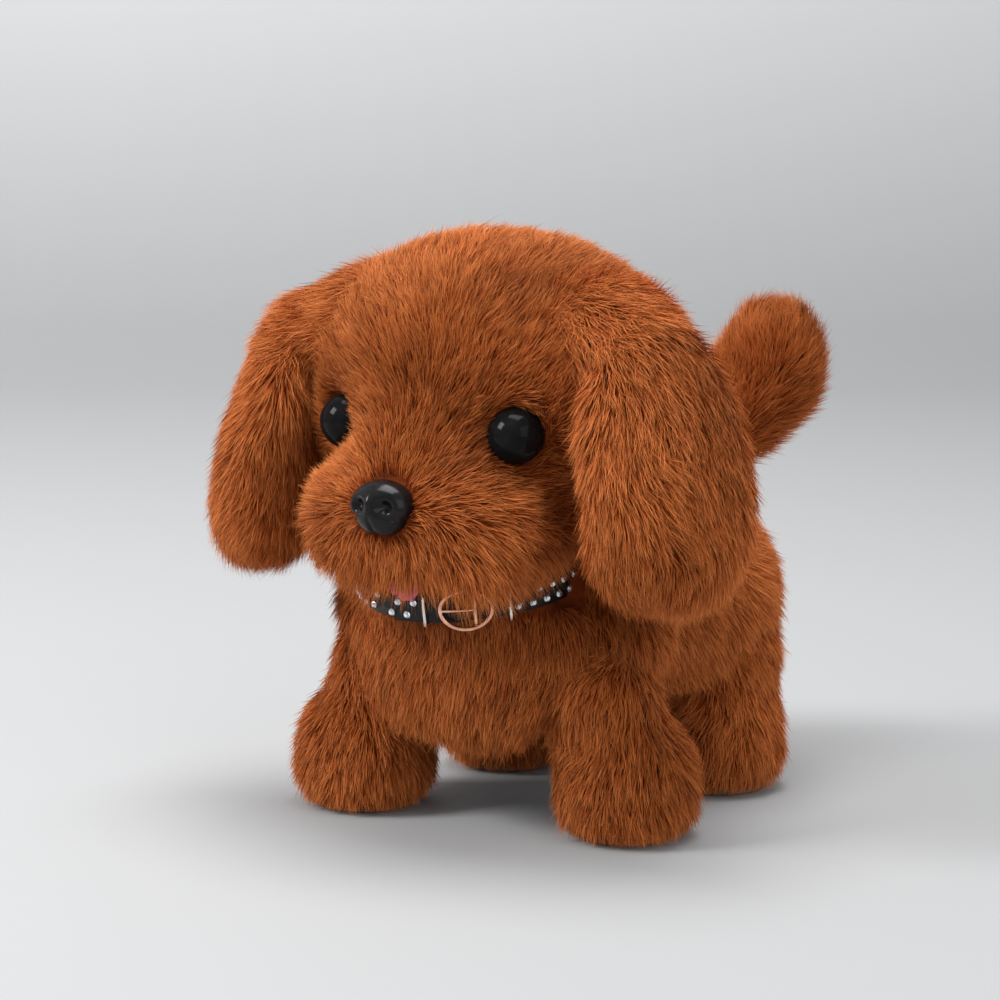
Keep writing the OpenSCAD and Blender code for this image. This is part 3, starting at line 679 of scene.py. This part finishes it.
def make_leg(end, hand):
    name = f"{end}_{hand}"
    x, hip_y = FOOT_X[name], HIP_Y[end]
    y = hip_y + (5 if hand == "left" else -5)
    haunch, wide = (8, 0) if end == "rear" else (0, 1)
    blobs = [Blob((x, y, 19.5), (16.2 + wide, 17 + wide, 16.5)),
             Blob((x, y, 9), (15.8 + wide, 16.3 + wide, 8.0)),
             Blob((x * (0.86 + haunch / 60), hip_y + haunch, 42), (14.5, 16, 20))]
    skin = skin_piece(f"{name}_skin", blobs, 4.0, [f"paw_{name}"], voxel_mm=2.0, floor_mm=1.1)

    def away(p, n):
        """Down, and outward from the middle of the foot."""
        return np.array([0, 0, -1.0]) + 0.9 * unit((p - np.array([x, y, 26])) * np.array([1, 1, 0.2]))

    # Painted light: the leg pile is painted a little lighter all over.
    pile = Pile(away, length=8.0, lift=34, floor=0.5, keep=lambda p, n: n[:, 2] > -0.75, tone=0.08,
                seed=41 + abs(int(x)))
    pieces = [skin, *grow(name, skin, pile, PILE)]
    for piece in pieces:
        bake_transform(piece)


def make_tail():
    blobs = [Blob((8, 53, 91), (8, 8, 8)), Blob((12, 63, 101), (10, 10, 11)),
             Blob((18, 73, 111), (11, 13, 15)), Blob((23, 82, 122.5), (13, 17, 18))]
    skin = skin_piece("tail_skin", blobs, 3.0, ["tail_plush"])
    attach(skin, "tail")
    pile = Pile(toward(0.25, 0.3, 1), length=9.5, lift=34, seed=61)
    ride_all(grow("tail", skin, pile, PILE), "tail")


# ---------- hard parts of the face ----------

def gloss_black(name, scale, roughness, specular):
    """Polished black plastic: faint tint, fine polish marks and a clear coat."""
    m, tree, bsdf = new_material(name)
    mottle(tree, bsdf, scale, [(0.3, (0.004, 0.004, 0.005)), (0.75, (0.011, 0.010, 0.010))])
    rough = node(tree, "ShaderNodeMapRange", **{"From Min": 0.3, "From Max": 0.7, "To Min": roughness,
                                               "To Max": roughness + 0.10})
    tree.links.new(noise_of(tree, scale * 3, 6), rough.inputs["Value"])
    tree.links.new(rough.outputs["Result"], bsdf.inputs["Roughness"])
    bump(tree, bsdf, noise_of(tree, scale * 8, 4), 0.03, 0.0002)
    bsdf.inputs["Specular IOR Level"].default_value = specular
    bsdf.inputs["Coat Weight"].default_value = 0.02
    bsdf.inputs["Coat Roughness"].default_value = 0.05
    return m


def lathe(name, profile, turns=72):
    """A closed turned shape about local Z from (radius, height) points, in millimetres."""
    bm = bmesh.new()
    rings = []
    for r, z in profile:
        if r < 1e-6:
            rings.append([bm.verts.new((0, 0, z))])
        else:
            rings.append([bm.verts.new((r * math.cos(a), r * math.sin(a), z))
                          for a in np.linspace(0, 2 * math.pi, turns, endpoint=False)])
    for low, high in zip(rings, rings[1:]):
        for i in range(turns):
            j = (i + 1) % turns
            corners = [low[i % len(low)], low[j % len(low)], high[j % len(high)], high[i % len(high)]]
            corners = list(dict.fromkeys(corners))
            if len(corners) > 2:
                bm.faces.new(corners)
    mesh = mesh_of(name, bm, solid=True)
    mesh.shade_smooth()
    return mesh


def make_eye(side, name, material):
    """A domed eye with a thin rolled rim, on the line from the middle of the head."""
    centre = Vector((EYE_C[0] * side, EYE_C[1], EYE_C[2]))
    out = Vector((centre.x, centre.y + 42, 0)).normalized()
    edge = math.radians(104)
    dome = [(EYE_R * math.sin(a), EYE_R * math.cos(a)) for a in np.linspace(0, edge, 26)]
    back = [(EYE_R * math.sin(edge) - 0.25, -2.6), (5.4, -3.0), (2.1, -3.1), (2.0, -12.0), (0, -12.2)]
    mesh = lathe(f"{name}_dome", dome + back)
    turn = out.to_track_quat("Z", "Y").to_matrix().to_4x4()
    mesh.transform(Matrix.Scale(MM, 4) @ Matrix.Translation(centre) @ turn)
    eye = new_piece(f"{name}_dome", mesh, material)
    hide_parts(name)
    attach(eye, "head")


def dent(p, centre, size, depth):
    """How far points are pushed in by a soft round hollow."""
    q = (p - np.array(centre)) / np.array(size)
    return depth * np.exp(-(q * q).sum(1) * 1.4)


def make_nose(material):
    """A moulded nose: rounded triangle, two nostrils, a ridge between them and a notch under it."""
    bm = bmesh.new()
    bmesh.ops.create_icosphere(bm, subdivisions=6, radius=1)
    mesh = mesh_of("nose_shell", bm)
    p = points_of(mesh)
    x, y, z = p.T
    wide = 9.6 * (1 - 0.17 * np.clip(-z, 0, 1) ** 1.5)
    high = np.where(z > 0, 7.4, 8.6)
    q = np.stack([wide * x, 7.6 * y, high * z], 1)
    front = np.clip(-y, 0, 1)
    for s in (1, -1):
        q[:, 1] += dent(q, (4.3 * s, -6, 0.6), (2.5, 9, 2.4), 3.6) * front
        q[:, 1] += dent(q, (6.8 * s, -4, -2.6), (1.9, 9, 1.2), 1.9) * front
        q[:, 0] -= s * dent(q, (8.2 * s, -2, -3.4), (2.2, 5, 1.6), 0.9)
    q[:, 1] -= dent(q, (0, -7, 2.0), (1.5, 6, 3.2), 0.55) * front
    q[:, 1] += dent(q, (0, -7, -6.2), (0.7, 9, 3.2), 1.5) * front
    q[:, 2] += dent(q, (0, -4, -8.6), (1.5, 6, 2.2), 1.3)
    q += np.array([0, -96.6, 99.5])
    mesh.vertices.foreach_set("co", (q * MM).ravel())
    mesh.update()
    mesh.shade_smooth()
    nose = new_piece("nose_shell", mesh, material)
    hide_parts("nose")
    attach(nose, "head")


# ---------- collar ----------

BUCKLE_TURN = 30
LOOP_TURNS = (10.5, 50)
TIP_TURN = -12
STRAP_IN, STRAP_T, STRAP_W = 32.4, 1.2, 8.0
STUDS_PER_ROW = 46
STUD_START, STUD_END = 52, -16
STUD_ROW_GAP = 3.6
FREE_END_STUDS = ((5, 1.8), (1.1, -1.8), (-3, 1.8), (-6.6, -1.4))
COLLAR_FRAME = Matrix.Translation(Vector(COLLAR_AT)) @ Matrix.Rotation(COLLAR_TILT, 4, "X")


def on_strap(turn, radius, height=0.0):
    """A point of the collar in its own frame: turn 0 is under the nose, positive towards the left side."""
    a = math.radians(turn)
    return Vector((radius * math.sin(a), -radius * math.cos(a), height))


def tip_curl(turn):
    """How far the strap's free end stands off towards its tip."""
    return 1.1 * math.exp(-((turn - TIP_TURN) / 9) ** 2)


def collar_piece(name, mesh, material, slot, *nodes):
    mesh.transform(Matrix.Scale(MM, 4) @ COLLAR_FRAME)
    o = new_piece(name, mesh, material)
    if nodes:
        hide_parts(*nodes)
    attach(o, "chassis")
    return o


def leather_material():
    m, tree, bsdf = new_material("strap_leather")
    mottle(tree, bsdf, 400, [(0.3, (0.004, 0.004, 0.004)), (0.8, (0.012, 0.011, 0.011))])
    grain = node(tree, "ShaderNodeTexVoronoi", Scale=1700.0, feature="DISTANCE_TO_EDGE")
    tree.links.new(coordinates(tree), grain.inputs["Vector"])
    bump(tree, bsdf, grain.outputs["Distance"], 0.35, 0.0002)
    bsdf.inputs["Roughness"].default_value = 0.42
    bsdf.inputs["Specular IOR Level"].default_value = 0.22
    return m


def metal_material(name, low, high, roughness):
    m, tree, bsdf = new_material(name)
    mottle(tree, bsdf, 500, [(0.3, low), (0.75, high)])
    bsdf.inputs["Metallic"].default_value = 1.0
    rough = node(tree, "ShaderNodeMapRange", **{"To Min": roughness, "To Max": roughness + 0.15})
    tree.links.new(noise_of(tree, 900, 6), rough.inputs["Value"])
    tree.links.new(rough.outputs["Result"], bsdf.inputs["Roughness"])
    return m


def band(name, turns, radius_of, thick, half_width_of, closed):
    """A strap along the ring: a rounded flat section at each turn angle."""
    corner = 0.32
    bm = bmesh.new()
    rows = []
    for turn in turns:
        r, h = radius_of(turn), half_width_of(turn)
        out = r + thick
        section = [(r + corner, -h), (out - corner, -h), (out, -h + corner), (out + 0.12, 0),
                   (out, h - corner), (out - corner, h), (r + corner, h), (r, h - corner), (r, -h + corner)]
        rows.append([bm.verts.new(on_strap(turn, a, b)) for a, b in section])
    pairs = list(zip(rows, rows[1:])) + ([(rows[-1], rows[0])] if closed else [])
    for a, b in pairs:
        for i in range(len(a)):
            j = (i + 1) % len(a)
            bm.faces.new((a[i], b[i], b[j], a[j]))
    if not closed:
        bm.faces.new(rows[0])
        bm.faces.new(rows[-1][::-1])
    mesh = mesh_of(name, bm, solid=True)
    mesh.shade_smooth()
    return mesh


def tube(name, points, radius, closed=True, sides=14):
    """A round wire along points in the collar's own frame."""
    bm = bmesh.new()
    rows = []
    n = len(points)
    up = Vector((0, 0, 1))
    last = up
    for i, p in enumerate(points):
        ahead = points[(i + 1) % n] if closed or i < n - 1 else p
        behind = points[i - 1] if closed or i > 0 else p
        t = (ahead - behind).normalized()
        a = t.cross(up)
        a = a.normalized() if a.length > 0.2 else t.cross(Vector((1, 0, 0))).normalized()
        b = t.cross(a)
        if rows and a.dot(last) < 0:
            a, b = -a, -b
        last = a
        rows.append([bm.verts.new(p + radius * (math.cos(k) * a + math.sin(k) * b))
                     for k in np.linspace(0, 2 * math.pi, sides, endpoint=False)])
    for a, b in list(zip(rows, rows[1:])) + ([(rows[-1], rows[0])] if closed else []):
        shift = min(range(sides), key=lambda k: (a[0].co - b[k].co).length)
        for i in range(sides):
            j = (i + 1) % sides
            bm.faces.new((a[i], b[(i + shift) % sides], b[(j + shift) % sides], a[j]))
    if not closed:
        bm.faces.new(rows[0])
        bm.faces.new(rows[-1][::-1])
    mesh = mesh_of(name, bm, solid=True)
    mesh.shade_smooth()
    return mesh


def joined(name, meshes):
    bm = bmesh.new()
    for mesh in meshes:
        bm.from_mesh(mesh)
        bpy.data.meshes.remove(mesh)
    return mesh_of(name, bm)


def make_strap():
    """The strap's ring, and its free end lying over it with a pointed tip."""
    leather = leather_material()
    half = STRAP_W / 2
    ring = band("collar_band", np.arange(0, 360, 3.0), lambda t: STRAP_IN, STRAP_T, lambda t: half, True)
    end_turns = np.linspace(TIP_TURN, BUCKLE_TURN, 30)

    def lift(turn):
        return STRAP_IN + STRAP_T + 0.15 + tip_curl(turn)

    def point(turn):
        return max(0.45, half * min(1, ((turn - TIP_TURN) / 8 + 0.04) ** 0.75))

    free_end = band("collar_free_end", end_turns, lift, STRAP_T, point, False)
    strap = joined("collar_band", [ring, free_end])
    collar_piece("collar_band", strap, leather, "strap_black", "collar_strap")


def make_buckle():
    """An oval wire ring on the strap, with a cross bar and a prong."""
    out = STRAP_IN + 2 * STRAP_T + 0.75
    gold = metal_material("rose_gold", linear(214, 150, 118), linear(250, 205, 175), 0.12)
    oval = [on_strap(BUCKLE_TURN + math.degrees(7.2 * math.cos(a) / out), out + 0.5, 5.6 * math.sin(a))
            for a in np.linspace(0, 2 * math.pi, 56, endpoint=False)]
    bar = [on_strap(BUCKLE_TURN + 4, out - 0.1, z) for z in np.linspace(-5.1, 5.1, 12)]
    prong = [on_strap(BUCKLE_TURN + t, out + 0.55, 0) for t in np.linspace(4, -12, 14)]
    parts = [tube("a", oval, 0.62), tube("b", bar, 0.5, closed=False), tube("c", prong, 0.42, closed=False)]
    collar_piece("collar_ring", joined("collar_ring", parts), gold, "buckle_gold", "collar_buckle")


def make_loops():
    """The two wire loops that hold the free end down."""
    silver = metal_material("bright_loops", linear(205, 190, 176), linear(245, 236, 226), 0.15)
    parts = []
    for turn in LOOP_TURNS:
        r0, r1, h = STRAP_IN - 0.3, STRAP_IN + 2 * STRAP_T + 0.9, STRAP_REACH
        corners = [(r0, -h), (r1, -h), (r1, h), (r0, h)]
        path = [on_strap(turn, a + (c - a) * k / 6, b + (d - b) * k / 6)
                for (a, b), (c, d) in zip(corners, corners[1:] + corners[:1]) for k in range(6)]
        parts.append(tube("loop", path, 0.45))
    collar_piece("collar_keepers", joined("collar_keepers", parts), silver, "loop_silver", "collar_loops")


def stud_material():
    m, tree, bsdf = new_material("crystal")
    mottle(tree, bsdf, 700, [(0.3, (0.62, 0.66, 0.72)), (0.75, (1.0, 1.0, 1.0))])
    bsdf.inputs["Metallic"].default_value = 0.85
    bsdf.inputs["Roughness"].default_value = 0.05
    return m


def make_studs():
    """Cut crystals in two staggered rows, each in a small cup."""
    facets = 8
    bm = bmesh.new()
    step = 360 / STUDS_PER_ROW
    places = []
    for row in (0, 1):
        for i in range(STUDS_PER_ROW):
            turn = (i + row / 2) * step
            if STUD_START < turn < 360 + STUD_END:
                places.append((turn, STRAP_IN + STRAP_T, (row - 0.5) * STUD_ROW_GAP))
    places += [(t, STRAP_IN + 2 * STRAP_T + 0.2 + tip_curl(t), z) for t, z in FREE_END_STUDS]
    for turn, r, z in places:
        out = on_strap(turn, 1)
        place = Matrix.Translation(on_strap(turn, r, z)) @ out.to_track_quat("Z", "Y").to_matrix().to_4x4()
        levels = ((1.12, 0.0, 0), (1.12, 0.28, 0), (1.0, 0.42, 0), (0.62, 0.86, math.pi / facets))
        rings = [[bm.verts.new(place @ Vector((a * math.cos(k), a * math.sin(k), b)))
                  for k in np.linspace(0, 2 * math.pi, facets, endpoint=False) + shift]
                 for a, b, shift in levels]
        for low, high in zip(rings, rings[1:]):
            for i in range(facets):
                j = (i + 1) % facets
                bm.faces.new((low[i], low[j], high[j]))
                bm.faces.new((low[i], high[j], high[i]))
        bm.faces.new(rings[-1])
        bm.faces.new(rings[0][::-1])
    mesh = mesh_of("collar_crystals", bm, solid=True)
    collar_piece("collar_crystals", mesh, stud_material(), "stud_crystal", "collar_studs")


def make_tongue():
    """A soft felt tongue lying over the chin, with a crease down its middle."""
    m, tree, bsdf = new_material("tongue_felt")
    mottle(tree, bsdf, 700, [(0.3, linear(178, 72, 88)), (0.75, linear(214, 112, 124))], 6)
    bsdf.inputs["Roughness"].default_value = 0.85
    bump(tree, bsdf, noise_of(tree, 2600, 4), 0.4, 0.0003)
    path = [(-74, 81.4), (-79, 81.2), (-83.4, 80.2), (-85.8, 78.0), (-86.6, 75.6), (-86.8, 73.4),
            (-86.8, 71.6)]
    widths = (4.6, 5.2, 5.6, 5.8, 5.6, 4.6, 2.4)
    bm = bmesh.new()
    rows = []
    for (y, z), w in zip(path, widths):
        rows.append([bm.verts.new((w * k / 4, y - 0.25 * (1 - abs(k) / 4) * (k != 0), z - 0.35 * (k == 0)))
                     for k in range(-4, 5)])
    for a, b in zip(rows, rows[1:]):
        for i in range(8):
            bm.faces.new((a[i], a[i + 1], b[i + 1], b[i]))
    mesh = mesh_of("tongue_felt", bm)
    mesh.transform(Matrix.Scale(MM, 4))
    tongue = new_piece("tongue_felt", mesh, m)
    thick = tongue.modifiers.new("thick", "SOLIDIFY")
    thick.thickness, thick.offset = 0.9 * MM, 0
    round_off = tongue.modifiers.new("round", "SUBSURF")
    round_off.levels = round_off.render_levels = 2
    tongue.data = baked(tongue)
    tongue.modifiers.clear()
    tongue.data.shade_smooth()
    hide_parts("tongue")
    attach(tongue, "jaw")


# ---------- CAD parts that stay ----------

def plastic_look(tree, bsdf, colour):
    """Moulded plastic: a fine spark-eroded grain and a slight mottling."""
    dark = tuple(0.82 * c for c in colour)
    mottle(tree, bsdf, 260, [(0.3, dark), (0.7, colour)])
    bump(tree, bsdf, noise_of(tree, 5200, 2), 0.35, 0.00012)
    bsdf.inputs["Roughness"].default_value = 0.5


def gloss_look(tree, bsdf, colour):
    plastic_look(tree, bsdf, colour)
    bsdf.inputs["Roughness"].default_value = 0.26


def metal_look(tree, bsdf, colour):
    """Plated metal with fine turning marks along the part."""
    marks = node(tree, "ShaderNodeTexWave", Scale=900.0, Distortion=1.5)
    tree.links.new(coordinates(tree), marks.inputs["Vector"])
    low = tuple(0.7 * c for c in colour)
    mottle(tree, bsdf, 700, [(0.3, low), (0.7, colour)])
    bump(tree, bsdf, marks.outputs["Fac"], 0.15, 0.00004)
    bsdf.inputs["Metallic"].default_value = 1.0
    bsdf.inputs["Roughness"].default_value = 0.3


def rubber_look(tree, bsdf, colour):
    """Matt rubber with a fine pebble grain and pale dust."""
    pebble = node(tree, "ShaderNodeTexVoronoi", Scale=1100.0)
    tree.links.new(coordinates(tree), pebble.inputs["Vector"])
    dusty = tuple(c + 0.05 for c in colour)
    mottle(tree, bsdf, 120, [(0.4, colour), (0.8, dusty)])
    bump(tree, bsdf, pebble.outputs["Distance"], 0.5, 0.0002)
    bsdf.inputs["Roughness"].default_value = 0.85


LOOKS = {"matte_plastic": plastic_look, "gloss_plastic": gloss_look, "brushed_steel": metal_look,
         "chrome": metal_look, "painted_metal": gloss_look, "brass": metal_look, "rubber": rubber_look}


def dress_nodes():
    """Gives each CAD part that has a look for its class a material made from its own base colour."""
    made = {}
    for entry in frame["record"]["materials"]:
        if entry["class"] in LOOKS:
            m, tree, bsdf = new_material("cad_" + entry["slot"])
            LOOKS[entry["class"]](tree, bsdf, tuple(entry["base_color"][:3]))
            made[entry["slot"]] = m
    for part in frame["record"]["subparts"]:
        if part["material_slot"] in made and part["node"] in frame["nodes"]:
            mesh = frame["nodes"][part["node"]].data
            mesh.materials.clear()
            mesh.materials.append(made[part["material_slot"]])


# ---------- camera, lights, floor ----------

VIEW_TURN = math.radians(33)


def make_camera():
    """The photograph's viewpoint, with a long lens."""
    target = Vector((0, -0.021, 0.088))
    elevation, distance = math.radians(9.2), 0.950
    level = math.cos(elevation)
    away = Vector((math.sin(VIEW_TURN) * level, -math.cos(VIEW_TURN) * level, math.sin(elevation)))
    camera = bpy.data.objects.new("camera", bpy.data.cameras.new("camera"))
    bpy.context.scene.collection.objects.link(camera)
    camera.location = target + distance * away
    camera.rotation_euler = (-away).to_track_quat("-Z", "Y").to_euler()
    camera.data.lens = 116.3
    camera.data.sensor_width = 36
    camera.data.shift_x = -0.033
    camera.data.shift_y = 0.0105
    camera.data.clip_start = 0.05
    bpy.context.scene.camera = camera


def area_light(name, place, target, size, power):
    data = bpy.data.lights.new(name, "AREA")
    data.energy, data.size = power, size
    o = bpy.data.objects.new(name, data)
    bpy.context.scene.collection.objects.link(o)
    o.location = place
    o.rotation_euler = (Vector(target) - Vector(place)).to_track_quat("-Z", "Y").to_euler()


def make_studio():
    """A paper sweep that rises behind the object, with painted shade on the floor and towards the right and
    painted light up the backdrop, and three soft lights.
    """
    bm = bmesh.new()
    depth, back, rise, bend = 1.2, 1.6, 2.2, 0.6
    profile = [(-depth, 0.0), (back - bend, 0.0)]
    profile += [(back - bend + bend * math.sin(a), bend - bend * math.cos(a))
                for a in np.linspace(0, math.pi / 2, 12)[1:]]
    profile += [(back, rise)]
    rows = [[bm.verts.new((x, y, z)) for x in (-2.5, 2.5)] for y, z in profile]
    for a, b in zip(rows, rows[1:]):
        bm.faces.new((a[0], a[1], b[1], b[0]))
    mesh = mesh_of("floor", bm)
    mesh.shade_smooth()
    m, tree, bsdf = new_material("paper")
    height = tree.nodes.new("ShaderNodeSeparateXYZ")
    tree.links.new(coordinates(tree), height.inputs[0])
    # Painted light and shade: the paper is painted dark on the floor and light up the backdrop.
    tone = ramp(tree, height.outputs["Z"], [(0.02, (0.42, 0.422, 0.425)), (0.45, (0.96, 0.965, 0.975))])
    # Painted shade: the paper is painted darker towards the right.
    painted_shade_rightward = node(tree, "ShaderNodeMapRange",
                  **{"From Min": -0.35, "From Max": 0.35, "To Min": 1.05, "To Max": 0.9})
    tree.links.new(height.outputs["X"], painted_shade_rightward.inputs["Value"])
    shaded = node(tree, "ShaderNodeVectorMath", operation="SCALE")
    tree.links.new(tone, shaded.inputs["Vector"])
    tree.links.new(painted_shade_rightward.outputs["Result"], shaded.inputs["Scale"])
    tree.links.new(shaded.outputs["Vector"], bsdf.inputs["Base Color"])
    bsdf.inputs["Roughness"].default_value = 0.9
    floor = new_piece("floor", mesh, m)
    floor.rotation_euler = (0, 0, VIEW_TURN)
    world = bpy.data.worlds.new("studio")
    world.use_nodes = True
    world.node_tree.nodes["Background"].inputs["Color"].default_value = (0.86, 0.88, 0.90, 1)
    world.node_tree.nodes["Background"].inputs["Strength"].default_value = 0.60
    bpy.context.scene.world = world
    aim = (0, -0.02, 0.08)
    area_light("key", (-0.8, -0.9, 0.9), aim, 0.5, 15.5)
    area_light("top", (0.0, 0.05, 1.3), aim, 0.8, 15)
    area_light("fill", (1.2, -0.4, 0.6), aim, 0.9, 3.5)


make_camera()
make_studio()
dress_nodes()
make_head()
make_chin()
make_ear(1, "ear_left")
make_ear(-1, "ear_right")
make_body()
for end in ("front", "rear"):
    for hand in ("left", "right"):
        make_leg(end, hand)
make_tail()
EYE_BLACK = gloss_black("eye_polish", 220, 0.06, 0.06)
make_eye(1, "eye_left", EYE_BLACK)
make_eye(-1, "eye_right", EYE_BLACK)
make_nose(gloss_black("nose_polish", 260, 0.16, 0.2))
make_strap()
make_buckle()
make_loops()
make_studs()
make_tongue()

bpy.context.scene.view_settings.view_transform = "Standard"
